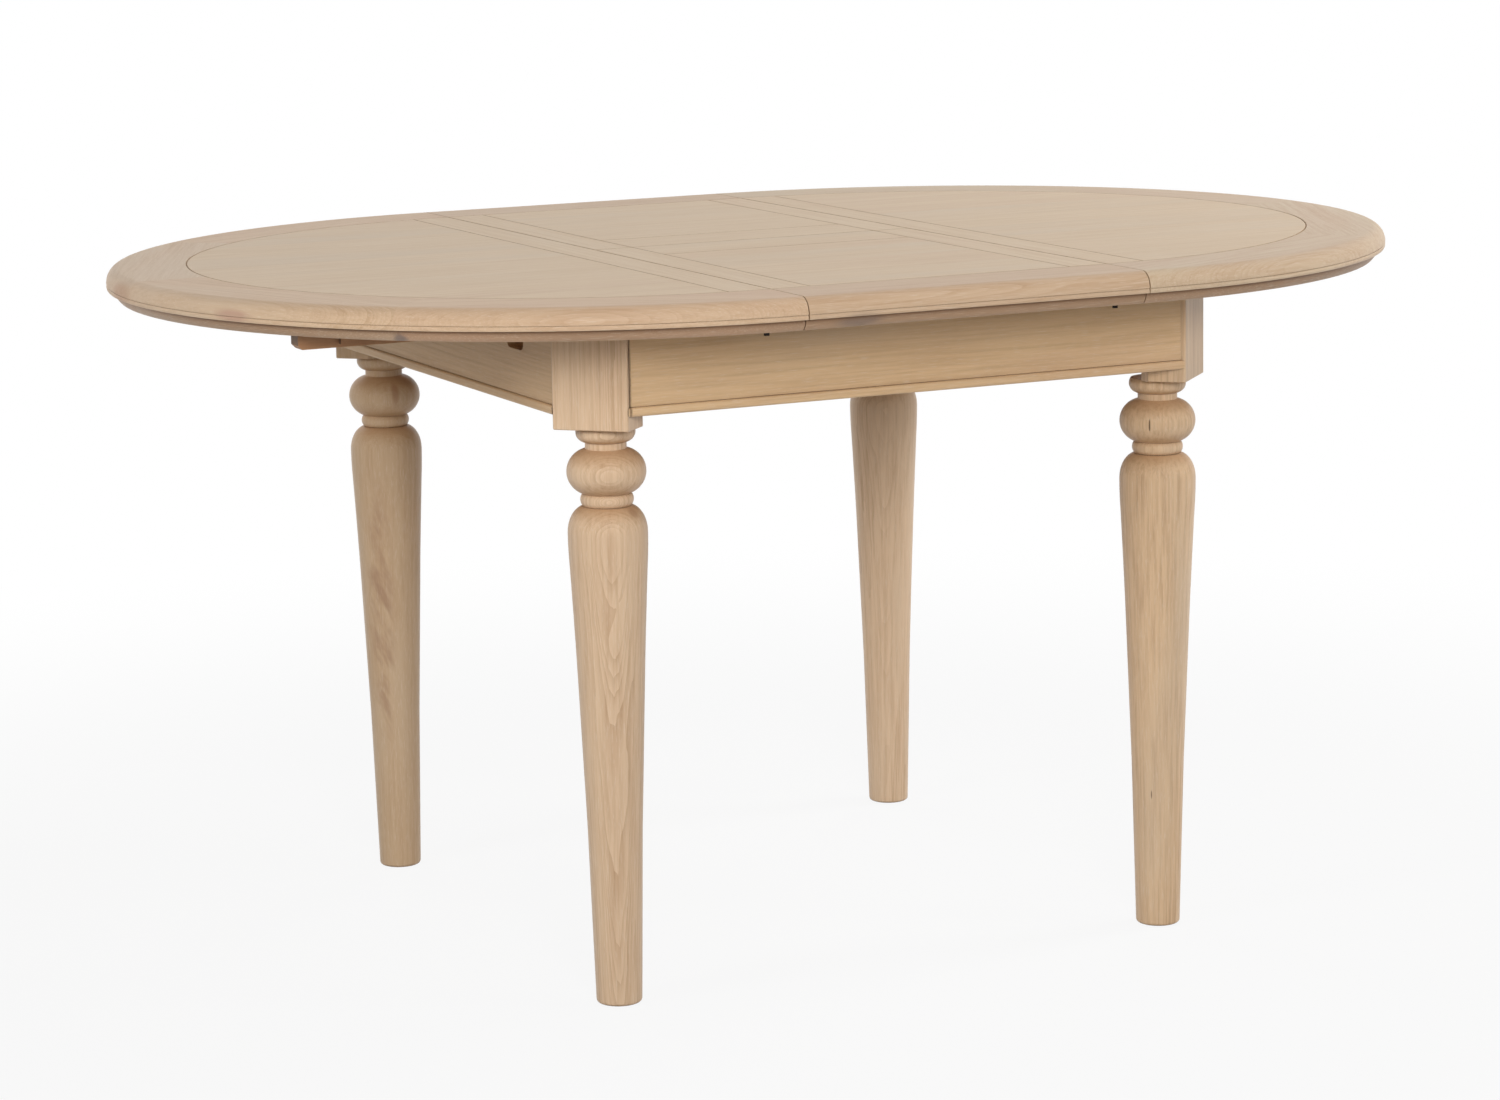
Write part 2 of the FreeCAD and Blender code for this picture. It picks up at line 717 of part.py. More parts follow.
# Cross rail under the guides, from front apron to back apron
cross_rail_half = leg_y + apron_inner
save("cross_rail", box(-cross_rail_width / 2, cross_rail_width / 2, -cross_rail_half, cross_rail_half,
                       guide_bottom - cross_rail_height, guide_bottom))
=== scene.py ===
import json
import math

import bmesh
import bpy
from mathutils import Matrix, Vector

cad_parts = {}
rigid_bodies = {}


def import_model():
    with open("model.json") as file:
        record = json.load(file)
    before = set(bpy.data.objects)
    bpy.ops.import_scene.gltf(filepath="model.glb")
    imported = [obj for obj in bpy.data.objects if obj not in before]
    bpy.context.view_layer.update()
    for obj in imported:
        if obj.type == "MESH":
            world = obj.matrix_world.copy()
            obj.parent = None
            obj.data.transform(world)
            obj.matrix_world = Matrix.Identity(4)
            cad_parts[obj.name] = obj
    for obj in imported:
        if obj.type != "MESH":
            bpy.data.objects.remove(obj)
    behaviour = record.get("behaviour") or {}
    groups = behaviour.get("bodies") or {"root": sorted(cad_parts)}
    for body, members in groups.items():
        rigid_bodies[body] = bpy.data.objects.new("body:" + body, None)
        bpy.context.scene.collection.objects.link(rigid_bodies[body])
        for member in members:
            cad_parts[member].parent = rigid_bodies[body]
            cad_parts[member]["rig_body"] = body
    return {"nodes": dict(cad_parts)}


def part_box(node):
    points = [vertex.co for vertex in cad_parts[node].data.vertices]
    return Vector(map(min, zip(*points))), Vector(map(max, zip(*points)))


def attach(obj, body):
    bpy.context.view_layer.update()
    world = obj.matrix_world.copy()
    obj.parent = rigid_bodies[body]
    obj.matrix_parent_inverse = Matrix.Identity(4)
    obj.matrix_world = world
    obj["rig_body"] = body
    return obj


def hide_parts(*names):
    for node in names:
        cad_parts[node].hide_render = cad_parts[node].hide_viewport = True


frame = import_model()
bpy.context.view_layer.update()


# Turned legs.
# Each leg is one length of oak: a square block at the top, standing cornerwise to the table, and a
# turned ring, ball, collar and tapered vase under it. The edges of the block are eased by sanding.
CORNERS = ("front_left", "front_right", "back_left", "back_right")
SAME_POINT = 2e-6
FLAT_WITHIN = math.radians(0.4)
CREASE = math.radians(32)
SHARP_CORNER = math.radians(50)
SANDED_EDGE = 0.0006
UNDER_THE_FLOOR = -1.0


def clean_solid(node):
    """The CAD piece as one closed bmesh, with its triangles on flat faces joined."""
    cad = frame["nodes"][node].data
    solid = bmesh.new()
    points = [solid.verts.new(vertex.co) for vertex in cad.vertices]
    for face in cad.polygons:
        solid.faces.new([points[i] for i in face.vertices])
    bmesh.ops.remove_doubles(solid, verts=solid.verts, dist=SAME_POINT)
    bmesh.ops.dissolve_limit(solid, angle_limit=FLAT_WITHIN, verts=solid.verts, edges=solid.edges)
    return solid


def finish_piece(name, solid, node, material):
    """The bmesh as a piece that stands for the CAD node and rides on the same body."""
    for face in solid.faces:
        face.smooth = True
    for edge in solid.edges:
        edge.smooth = edge.calc_face_angle(0) < CREASE
    mesh = bpy.data.meshes.new(name)
    solid.to_mesh(mesh)
    solid.free()
    mesh.materials.append(material)
    piece = bpy.data.objects.new(name, mesh)
    bpy.context.scene.collection.objects.link(piece)
    normals = piece.modifiers.new("flat_faces_stay_flat", "WEIGHTED_NORMAL")
    normals.keep_sharp = True
    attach(piece, frame["nodes"][node]["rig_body"])
    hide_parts(node)
    return piece


def sanded(node, material, easing=SANDED_EDGE, above=UNDER_THE_FLOOR):
    """The CAD piece with the sharp outer edges that lie above a height rounded over."""
    solid = clean_solid(node)
    arrises = [edge for edge in solid.edges
               if edge.is_convex and edge.calc_face_angle(0) > SHARP_CORNER
               and min(vertex.co.z for vertex in edge.verts) > above]
    bmesh.ops.bevel(solid, geom=arrises, offset=easing, offset_type="OFFSET", segments=2,
                    profile=0.5, affect="EDGES", clamp_overlap=True)
    return finish_piece(node + "_sanded", solid, node, material)


def srgb(red, green, blue):
    """A colour as a screen shows it, from 0 to 255, in the linear light that shaders use."""
    shares = [value / 255 for value in (red, green, blue)]
    return [s / 12.92 if s <= 0.04045 else ((s + 0.055) / 1.055) ** 2.4 for s in shares] + [1.0]


def blank_material(name):
    """A new material, its tree of shader nodes and the one shader in it."""
    material = bpy.data.materials.new(name)
    material.use_nodes = True
    return material, material.node_tree, material.node_tree.nodes["Principled BSDF"]


def add(tree, kind, *inputs, **settings):
    """A shader node with its settings, and its inputs in order: each a link, a value or None."""
    node = tree.nodes.new("ShaderNode" + kind)
    for name, value in settings.items():
        setattr(node, name, value)
    for socket, value in zip(node.inputs, inputs):
        if isinstance(value, bpy.types.NodeSocket):
            tree.links.new(value, socket)
        elif value is not None:
            socket.default_value = value
    return node


def calc(tree, operation, *inputs):
    """The result of a sum on links and plain numbers."""
    return add(tree, "Math", *inputs, operation=operation).outputs[0]


def ramp(tree, value, low, high):
    """The value spread so that low becomes 0 and high becomes 1, with soft ends."""
    node = add(tree, "MapRange", value, low, high, 0.0, 1.0, interpolation_type="SMOOTHSTEP")
    return node.outputs[0]


def blended(tree, share, first, second):
    """Two colours mixed by a share. The node's five inputs for other kinds of value stay unset."""
    unset = [None] * 5
    return add(tree, "Mix", share, *unset, first, second, data_type="RGBA").outputs[2]


def noise(tree, wood, scales, detail, roughness):
    """Noise drawn out along the grain: scales are waves to the metre along, across and deep."""
    stretched = [calc(tree, "MULTIPLY", part, scale) for part, scale in zip(wood, scales)]
    node = add(tree, "TexNoise")
    tree.links.new(add(tree, "CombineXYZ", *stretched).outputs[0], node.inputs["Vector"])
    node.inputs["Scale"].default_value = 1.0
    node.inputs["Detail"].default_value = detail
    node.inputs["Roughness"].default_value = roughness
    return node.outputs["Fac"]


def relief(tree, height, strength, depth):
    """Fine relief in the surface, from a pattern of heights."""
    bump = add(tree, "Bump")
    bump.inputs["Strength"].default_value = strength
    bump.inputs["Distance"].default_value = depth
    tree.links.new(height, bump.inputs["Height"])
    tree.links.new(bump.outputs[0], tree.nodes["Principled BSDF"].inputs["Normal"])


MIDDLE_TONE = 0.5


def straight_grain(tree, axis):
    """Place in wood with its grain along an axis, as (along, across, deep), and the wood's tone."""
    where = add(tree, "SeparateXYZ", add(tree, "TexCoord").outputs["Object"]).outputs
    order = {"X": (0, 1, 2), "Y": (1, 0, 2), "Z": (2, 0, 1)}[axis]
    return [where[i] for i in order], MIDDLE_TONE


# Rings wander as they run up the tree, wide and narrow years come in spells, and each year's dark
# late wood is stronger or fainter. A pattern is its waves to the metre, its detail and roughness.
RING_WAVES = ((2.4, 9, 9), 3.0, 0.55)
RING_WANDER = 0.012
SPELL_WAVES = 110.0
SPELL_IN_RINGS = 5
LATE_CURVE = 1.7
FAINTEST_YEAR = 0.5
YEARS_DIFFER = 0.8


def late_wood(tree, wood, leaning, heart, ring):
    """How dark the late wood is, in rings of that width about the heart line."""
    heart_across = calc(tree, "SUBTRACT", leaning, heart[0])
    heart_deep = calc(tree, "SUBTRACT", wood[2], heart[1])
    squares = [calc(tree, "POWER", part, 2.0) for part in (heart_across, heart_deep)]
    from_heart = calc(tree, "SQRT", calc(tree, "ADD", *squares))
    spells = add(tree, "TexNoise", noise_dimensions="1D")
    tree.links.new(from_heart, spells.inputs["W"])
    spells.inputs["Scale"].default_value = SPELL_WAVES
    growth = calc(tree, "MULTIPLY_ADD", noise(tree, wood, *RING_WAVES), RING_WANDER, from_heart)
    growth = calc(tree, "MULTIPLY_ADD", spells.outputs["Fac"], ring * SPELL_IN_RINGS, growth)
    years = calc(tree, "DIVIDE", growth, ring)
    year = calc(tree, "FLOOR", years)
    vigour = add(tree, "TexWhiteNoise", None, year, noise_dimensions="1D").outputs["Value"]
    strength = calc(tree, "MULTIPLY_ADD", vigour, YEARS_DIFFER, FAINTEST_YEAR)
    late = calc(tree, "POWER", calc(tree, "FRACT", years), LATE_CURVE)
    return calc(tree, "MULTIPLY", late, strength)


# A mark fades out over its edge, which the streaks of the wood make ragged.
MARK_FADES = (1.45, 0.75)
MARK_RAGGED = 0.7
FLAME_SLANT = 2.0
FLAME_WAVES = ((30, 34, 34), 3.0, 0.6)
FLAMES_SHOW = (0.36, 0.7)


def marked(tree, colour, wood, streaks, marks):
    """The colour with the tree's own marks over it, such as knots, checks and flames."""
    along, across, deep = wood
    for place, reach, shade, strength, *flamed in marks:
        here = add(tree, "TexCoord").outputs["Object"]
        offset = add(tree, "VectorMath", here, place, operation="SUBTRACT").outputs[0]
        scaled = add(tree, "VectorMath", offset, reach, operation="DIVIDE").outputs[0]
        away = add(tree, "VectorMath", scaled, operation="LENGTH").outputs["Value"]
        away = calc(tree, "MULTIPLY_ADD", streaks, MARK_RAGGED, away)
        cover = calc(tree, "MULTIPLY", ramp(tree, away, *MARK_FADES), strength)
        if flamed:
            slant = calc(tree, "MULTIPLY_ADD", across, FLAME_SLANT, along)
            bands = noise(tree, (slant, across, deep), *FLAME_WAVES)
            cover = calc(tree, "MULTIPLY", cover, ramp(tree, bands, *FLAMES_SHOW))
        colour = blended(tree, cover, colour, shade)
    return colour


# The edges are painted paler, partly as rubbed wear and partly as a painted highlight along them,
# and hollows and close corners are painted darker: painted shade.
OAK_RUBBED_AND_LIT = srgb(222, 196, 165)
OAK_PAINTED_SHADE = srgb(124, 92, 66)
RUBBED_LIT_WIDTH = 0.0022
RUBBED_LIT_FADES = (0.985, 0.86)
RUBBED_LIT_SHARE = 0.35


def worn_and_painted_light(tree, colour, painted_shade):
    """Paler edges, as wear and painted highlight, and painted shade in hollows, over the colour."""
    eased = add(tree, "Bevel", RUBBED_LIT_WIDTH, samples=3).outputs[0]
    normal = add(tree, "NewGeometry").outputs["Normal"]
    flat = add(tree, "VectorMath", eased, normal, operation="DOT_PRODUCT").outputs["Value"]
    # Paler along the edges: rubbed wear and a painted highlight.
    rubbed_and_lit = calc(tree, "MULTIPLY", ramp(tree, flat, *RUBBED_LIT_FADES), RUBBED_LIT_SHARE)
    colour = blended(tree, rubbed_and_lit, colour, OAK_RUBBED_AND_LIT)
    reach, starts, full = painted_shade
    # Darker where close walls block the light: painted shade.
    openness = add(tree, "AmbientOcclusion", samples=4)
    openness.inputs["Distance"].default_value = reach
    painted_shade_share = ramp(tree, openness.outputs["AO"], starts, full)
    return blended(tree, painted_shade_share, colour, OAK_PAINTED_SHADE)


# Late wood is browner than the rest, patches lean to rose or grey, and white wax fills the pores.
OAK_LATE = srgb(176, 140, 106)
OAK_ROSE = srgb(198, 160, 133)
OAK_GREY = srgb(203, 182, 157)
OAK_LIME = srgb(230, 216, 197)
OAK_END = srgb(180, 138, 97)
PLANKS_APART = 3.7
PATCH_WAVES = ((2.1, 13, 13), 2.0, 0.5)
STREAK_WAVES = ((7, 260, 260), 3.0, 0.62)
PORE_WAVES = ((60, 1300, 1300), 1.0, 0.5)
# Each of these is where a pattern starts to show, and where it shows in full.
PATCHES_SHOW = (0.25, 0.7)
STREAKS_SHOW = (0.36, 0.76)
PORES_SHOW = (0.56, 0.7)
ROSE_SHOWS = (0.52, 0.95)
GREY_SHOWS = (0.48, 0.1)
END_GRAIN_SHOWS = (0.15, 0.95)
TONE_SPREAD = 0.5
GREY_SHARE = 0.55
LIME_SHARE = 0.22
STREAK_DULLNESS = 0.18
LACQUER_SHINE = 0.3
STREAK_HEIGHT = 0.5
PORE_HEIGHT = -0.4
LATE_HEIGHT = -0.15
OAK_RELIEF = (0.16, 0.0006)
PLAIN_STREAKS = 0.36
# Painted shade in tight corners and creases.
CORNER_PAINTED_SHADE = (0.004, 0.55, 0.1)


def limed_oak(name, grain, heart, plank, pale, figure, tilt, ring=0.002, streaky=PLAIN_STREAKS,
              blush=0.55, end_grain=0.0, marks=(), painted_shade=CORNER_PAINTED_SHADE, sheen=0.36):
    """Pale oak: growth rings about a heart line, fine streaks, limed pores and a satin lacquer.

    Grain is the function that finds the place in the wood, and what it needs to know. The heart
    line is (across, deep) in the frame of the grain and leans by tilt. Each plank has a number.
    Figure, streaky, blush and end grain are the strengths of the rings, of the fine streaks, of the
    rosy patches and of the browner slopes cut across upright wood. A mark is (place, reach, colour,
    strength), and a fifth value, True, breaks it into flames that slant across the grain. Painted
    shade darkens hollows and corners: its reach, and the openness at which it starts and is full.
    A lower sheen is glossier.
    """
    material, tree, shader = blank_material(name)
    find_place, *about = grain
    (along, across, deep), tone = find_place(tree, *about)
    leaning = calc(tree, "MULTIPLY_ADD", along, tilt, across)
    wood = (calc(tree, "ADD", along, plank * PLANKS_APART), across, deep)
    late = late_wood(tree, wood, leaning, heart, ring)
    patches = noise(tree, wood, *PATCH_WAVES)
    streaks = noise(tree, wood, *STREAK_WAVES)
    pores = ramp(tree, noise(tree, wood, *PORE_WAVES), *PORES_SHOW)

    rings = calc(tree, "MULTIPLY", ramp(tree, patches, *PATCHES_SHOW), figure)
    dark = calc(tree, "MULTIPLY", late, rings)
    dark = calc(tree, "MULTIPLY_ADD", ramp(tree, streaks, *STREAKS_SHOW), streaky, dark)
    colour = blended(tree, dark, pale, OAK_LATE)
    patches_about_middle = calc(tree, "SUBTRACT", patches, TONE_SPREAD * MIDDLE_TONE)
    tone = calc(tree, "MULTIPLY_ADD", tone, TONE_SPREAD, patches_about_middle)
    rosy = calc(tree, "MULTIPLY", ramp(tree, tone, *ROSE_SHOWS), blush)
    colour = blended(tree, rosy, colour, OAK_ROSE)
    grey = calc(tree, "MULTIPLY", ramp(tree, tone, *GREY_SHOWS), GREY_SHARE)
    colour = blended(tree, grey, colour, OAK_GREY)
    colour = blended(tree, calc(tree, "MULTIPLY", pores, LIME_SHARE), colour, OAK_LIME)
    if end_grain:
        normal = add(tree, "NewGeometry").outputs["Normal"]
        upward = calc(tree, "ABSOLUTE", add(tree, "SeparateXYZ", normal).outputs[2])
        cut_across = calc(tree, "MULTIPLY", ramp(tree, upward, *END_GRAIN_SHOWS), end_grain)
        colour = blended(tree, cut_across, colour, OAK_END)
    colour = worn_and_painted_light(tree, marked(tree, colour, wood, streaks, marks), painted_shade)
    tree.links.new(colour, shader.inputs["Base Color"])

    roughness = calc(tree, "MULTIPLY_ADD", streaks, STREAK_DULLNESS, sheen)
    tree.links.new(roughness, shader.inputs["Roughness"])
    shader.inputs["Specular IOR Level"].default_value = LACQUER_SHINE
    height = calc(tree, "MULTIPLY", pores, PORE_HEIGHT)
    height = calc(tree, "MULTIPLY_ADD", streaks, STREAK_HEIGHT, height)
    height = calc(tree, "MULTIPLY_ADD", late, LATE_HEIGHT, height)
    relief(tree, height, *OAK_RELIEF)
    return material


# Each leg comes from its own plank.
LEG_TONES = {"front_left": srgb(219, 190, 158), "front_right": srgb(219, 187, 150),
             "back_left": srgb(200, 172, 139), "back_right": srgb(223, 194, 162)}
# One is cut on the quarter, so that its rings show as straight lines.
QUARTERED = {"front_right"}
QUARTER_STREAKS = 0.6
# The tree's own marks: fine checks in one leg, and brown flames down the side of another.
HEARTWOOD = srgb(158, 116, 86)
FLAME = srgb(150, 112, 88)
# Dark checks in the legs; the same colour paints the shade in a joint of the front apron.
CHECK_AND_JOINT_SHADE = srgb(92, 66, 46)
LEG_MARKS = {
    "front_right": [((0.3075, -0.3668, 0.579), (0.0012, 0.0012, 0.0105), CHECK_AND_JOINT_SHADE, 0.9),
                    ((0.3158, -0.3562, 0.155), (0.0009, 0.0009, 0.006), CHECK_AND_JOINT_SHADE, 0.7)],
    "back_left": [((-0.359, 0.309, 0.31), (0.018, 0.024, 0.2), FLAME, 0.6, True),
                  ((-0.3373, 0.2942, 0.588), (0.006, 0.01, 0.022), HEARTWOOD, 0.6)],
    "front_left": [((-0.319, -0.367, 0.538), (0.008, 0.008, 0.008), HEARTWOOD, 0.45)],
}
# The heart of the tree lies behind each leg as the photo shows it, so that the figure is in front.
CAMERA_PLACE = Vector((-2.0228, -4.2803, 1.2683))
HEART_BEHIND = 0.14
BLOCK_BOTTOM = 0.6275
for plank, corner in enumerate(CORNERS, 1):
    low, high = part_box(corner + "_leg")
    middle = ((low + high) / 2).xy
    toward_view = (CAMERA_PLACE.xy - middle).normalized()
    outward = toward_view.orthogonal() if corner in QUARTERED else toward_view
    heart = middle - outward * HEART_BEHIND
    oak = limed_oak("leg_oak_" + corner, (straight_grain, "Z"), heart, plank,
                    pale=LEG_TONES[corner], figure=0.48, tilt=0.01, blush=0.35, end_grain=0.6,
                    streaky=QUARTER_STREAKS if corner in QUARTERED else PLAIN_STREAKS,
                    marks=LEG_MARKS.get(corner, ()), sheen=0.3)
    sanded(corner + "_leg", oak, above=BLOCK_BOTTOM)


# Aprons.
# Four boards of straight-grained oak close the frame between the leg blocks, each with a bead strip
# glued under it. The end boards are notched for the runners. Corner braces behind hold them all.
APRON_PALE = srgb(217, 184, 143)
APRON_HEART_ASIDE = 0.35
APRON_HEART_BELOW = 0.16
# The aprons are painted darker for some way below the top and in their corners: painted shade under
# the overhang.
PAINTED_SHADE_UNDER_TOP = (0.03, 0.88, 0.35)
FINE_EDGE = 0.0003
# A dark line is painted down the joint at the left end of the front board: painted shade in the
# joint.
APRON_MIDDLE = 0.69
front_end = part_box("front_apron")[0]
joint_shade_place = Vector((front_end.x, front_end.y, APRON_MIDDLE))
APRON_MARKS = {"front": [(joint_shade_place, (0.0024, 0.01, 0.08), CHECK_AND_JOINT_SHADE, 0.85)]}
for plank, side in enumerate(("front", "right", "back", "left"), 6):
    axis = "X" if side in ("front", "back") else "Y"
    low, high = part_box(side + "_apron")
    middle = (low + high) / 2
    across = middle.y if axis == "X" else middle.x
    heart = (across + APRON_HEART_ASIDE, middle.z - APRON_HEART_BELOW)
    oak = limed_oak("apron_oak_" + side, (straight_grain, axis), heart, plank, pale=APRON_PALE,
                    figure=0.2, tilt=0.008, marks=APRON_MARKS.get(side, ()), painted_shade=PAINTED_SHADE_UNDER_TOP,
                    sheen=0.45)
    sanded(side + "_apron", oak)
    sanded(side + "_apron_bead", oak, easing=FINE_EDGE)


# Corner braces, bolts, washers and nuts.
# A beech brace is set across each corner behind the leg. Two bolts of zinc-plated steel, with
# washers and nuts, draw the leg block to it.
# The beech is coloured somewhat darker than the bare wood, partly as painted shade for the runners
# under the top.
BEECH = srgb(186, 142, 104)
BEECH_DARK = srgb(154, 111, 77)
BEECH_END = srgb(118, 92, 70)
FLECK_WAVES = ((90, 700, 700), 1.0, 0.5)
FLECKS_SHOW = (0.58, 0.72)
FLECK_SHARE = 0.35
BAND_WAVES = ((3, 60, 60), 4.0, 0.6)
BANDS_SHOW = (0.3, 0.75)
BAND_DULLNESS = 0.2
BEECH_DULLNESS = 0.5
BEECH_ENDS_SHOW = (0.6, 0.95)
BEECH_RELIEF = (0.2, 0.0005)
BRACE_EDGE = 0.001


def bare_beech(name, axis, plank):
    """Unfinished beech with its grain along an axis: soft bands, small flecks and darker ends."""
    material, tree, shader = blank_material(name)
    (along, across, deep), _ = straight_grain(tree, axis)
    wood = (calc(tree, "ADD", along, plank * PLANKS_APART), across, deep)
    flecks = ramp(tree, noise(tree, wood, *FLECK_WAVES), *FLECKS_SHOW)
    bands = noise(tree, wood, *BAND_WAVES)
    colour = blended(tree, ramp(tree, bands, *BANDS_SHOW), BEECH, BEECH_DARK)
    colour = blended(tree, calc(tree, "MULTIPLY", flecks, FLECK_SHARE), colour, BEECH_DARK)
    normal = add(tree, "NewGeometry").outputs["Normal"]
    facing = add(tree, "SeparateXYZ", normal).outputs["XYZ".index(axis)]
    end = ramp(tree, calc(tree, "ABSOLUTE", facing), *BEECH_ENDS_SHOW)
    tree.links.new(blended(tree, end, colour, BEECH_END), shader.inputs["Base Color"])
    roughness = calc(tree, "MULTIPLY_ADD", bands, BAND_DULLNESS, BEECH_DULLNESS)
    tree.links.new(roughness, shader.inputs["Roughness"])
    relief(tree, bands, *BEECH_RELIEF)
    return material


for plank, corner in enumerate(CORNERS):
    sanded(corner + "_brace", bare_beech("brace_beech_" + corner, "X", plank),
           easing=BRACE_EDGE)

# The patterns of the metal are told like those of the wood.
TOOL_LINES = ((900, 900, 4000), 2.0, 0.6)
TOOL_RELIEF = (0.1, 0.0001)
TARNISH_WAVES = ((160, 160, 160), 3.0, 0.6)
TARNISH_SHOWS = (0.42, 0.7)
TARNISH_DULLNESS = 0.25


def metal(name, bright, tarnished, roughness):
    """Turned or pressed metal with fine tool lines and a little tarnish."""
    material, tree, shader = blank_material(name)
    shader.inputs["Metallic"].default_value = 1.0
    place, _ = straight_grain(tree, "Z")
    stain = noise(tree, place, *TARNISH_WAVES)
    colour = blended(tree, ramp(tree, stain, *TARNISH_SHOWS), bright, tarnished)
    tree.links.new(colour, shader.inputs["Base Color"])
    dullness = calc(tree, "MULTIPLY_ADD", stain, TARNISH_DULLNESS, roughness)
    tree.links.new(dullness, shader.inputs["Roughness"])
    relief(tree, noise(tree, place, *TOOL_LINES), *TOOL_RELIEF)
    return material


def keep_cad(node, material):
    """A CAD piece shown as it is, in its own material."""
    piece = frame["nodes"][node]
    piece.data.materials.clear()
    piece.data.materials.append(material)


zinc_plate = metal("zinc_plate", srgb(196, 196, 190), srgb(160, 156, 140), roughness=0.25)
for node in ("corner_bolts", "corner_washers", "corner_nuts"):
    keep_cad(node, zinc_plate)


# Guides and cross rail.
# Four grooved beech rails are fixed between the end aprons and rest on a cross rail. Their grooves
# carry the tongues of the runners.
GUIDES = ("front_outer_guide", "front_inner_guide", "back_outer_guide", "back_inner_guide")
for plank, node in enumerate(GUIDES, 4):
    sanded(node, bare_beech(node + "_beech", "X", plank))
sanded("cross_rail", bare_beech("cross_rail_beech", "Y", plank=8))


# Runners, stop pegs and screws.
# Two beech runners are screwed up under each end and slide in the guides. A peg let into the tail
# of each runner meets the cross rail and stops it.
PEG_PLANKS_ON = 3
for plank, side in enumerate(("left", "right"), 9):
    for row in ("front", "back"):
        node = side + "_" + row + "_runner"
        sanded(node, bare_beech(node + "_beech", "X", plank))
    sanded(side + "_stop_pegs",
           bare_beech(side + "_peg_beech", "Z", plank + PEG_PLANKS_ON))
    keep_cad(side + "_screws", zinc_plate)


# Half-round ends.
# Each end is a rim of curved oak lengths round a field of oak boards, with a strip along the seam,
# glued edge to edge with fine V-grooves. A sloping moulding is glued under the rim.
SEAM_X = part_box("right_rim")[0].x
RIM_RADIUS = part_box("left_rim")[1].y
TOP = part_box("left_rim")[1].z
SQUARE_ON = 0.99
AT_THE_END = 1e-5


def end_section(node, end_x):
    """The outline of the piece's flat end at that X, in order, as (distance out, height)."""
    solid = clean_solid(node)
    ends = []
    for face in solid.faces:
        middle = face.calc_center_median()
        if abs(face.normal.x) > SQUARE_ON and abs(middle.x - end_x) < AT_THE_END and middle.y < 0:
            ends.append(face)
    widest = max(ends, key=lambda face: face.calc_area())
    outline = [(-vertex.co.y, vertex.co.z) for vertex in widest.verts]
    solid.free()
    return outline


LEAST_MITRE = 0.4


def shrunk(outline, amount):
    """The outline drawn in on all sides by a small amount."""
    befores = outline[-1:] + outline[:-1]
    afters = outline[1:] + outline[:1]
    turn = sum(a[0] * b[1] - b[0] * a[1] for a, b in zip(outline, afters))
    inward = math.copysign(amount, turn)
    points = []
    for before, here, after in zip(befores, outline, afters):
        first = (Vector(here) - Vector(before)).normalized()
        second = (Vector(after) - Vector(here)).normalized()
        first_in = Vector((-first.y, first.x))
        second_in = Vector((-second.y, second.x))
        mitre = (first_in + second_in) / max(LEAST_MITRE, 1 + first_in.dot(second_in))
        points.append(tuple(Vector(here) + mitre * inward))
    return points


SEAM_EDGE = 0.0004
GROOVE_SLOT = 1


def swept(name, outline, stations, node, material, shaded_ends=False):
    """A bar of that section through the stations, each a middle point and an outward direction.

    Its ends are eased, and on a bar that ends in a groove they are painted darker: painted shade.
    """
    solid = bmesh.new()
    eased = shrunk(outline, SEAM_EDGE)
    rows = []
    for number, (middle, outward) in enumerate(stations):
        section = eased if number in (0, len(stations) - 1) else outline
        rows.append([solid.verts.new(Vector((*(middle + outward * out), height)))
                     for out, height in section])
    for number, (row, after) in enumerate(zip(rows, rows[1:])):
        for i in range(len(row)):
            j = (i + 1) % len(row)
            face = solid.faces.new((row[i], row[j], after[j], after[i]))
            if shaded_ends and number in (0, len(rows) - 2):
                face.material_index = GROOVE_SLOT
    solid.faces.new(rows[0][::-1])
    solid.faces.new(rows[-1])
    bmesh.ops.recalc_face_normals(solid, faces=solid.faces)
    return finish_piece(name, solid, node, material)


RIM_STEPS = 73


def rim_stations(side):
    """Places round the half circle of an end, one of them close to each seam for its eased edge."""
    middle = Vector((side * SEAM_X, 0))
    easing = SEAM_EDGE / RIM_RADIUS
    turns = [math.pi * i / RIM_STEPS for i in range(1, RIM_STEPS)]
    turns = [0, easing, *turns, math.pi - easing, math.pi]
    return [(middle, Vector((side * math.sin(turn), -math.cos(turn)))) for turn in turns]


BOARDS_APART_ALONG = 9.0
BOARDS_APART_ACROSS = 0.1


def apart(tree, wood, number, draw):
    """The place moved so that each numbered board has its own part of the tree, and its own tone.

    Another draw gives the boards other parts and tones.
    """
    along, across, deep = wood
    drawn = calc(tree, "ADD", number, draw)
    chance = add(tree, "TexWhiteNoise", None, drawn, noise_dimensions="1D").outputs["Value"]
    along = calc(tree, "MULTIPLY_ADD", chance, BOARDS_APART_ALONG, along)
    across = calc(tree, "MULTIPLY_ADD", chance, BOARDS_APART_ACROSS, across)
    return (along, across, deep), chance


RIM_LENGTHS = 4


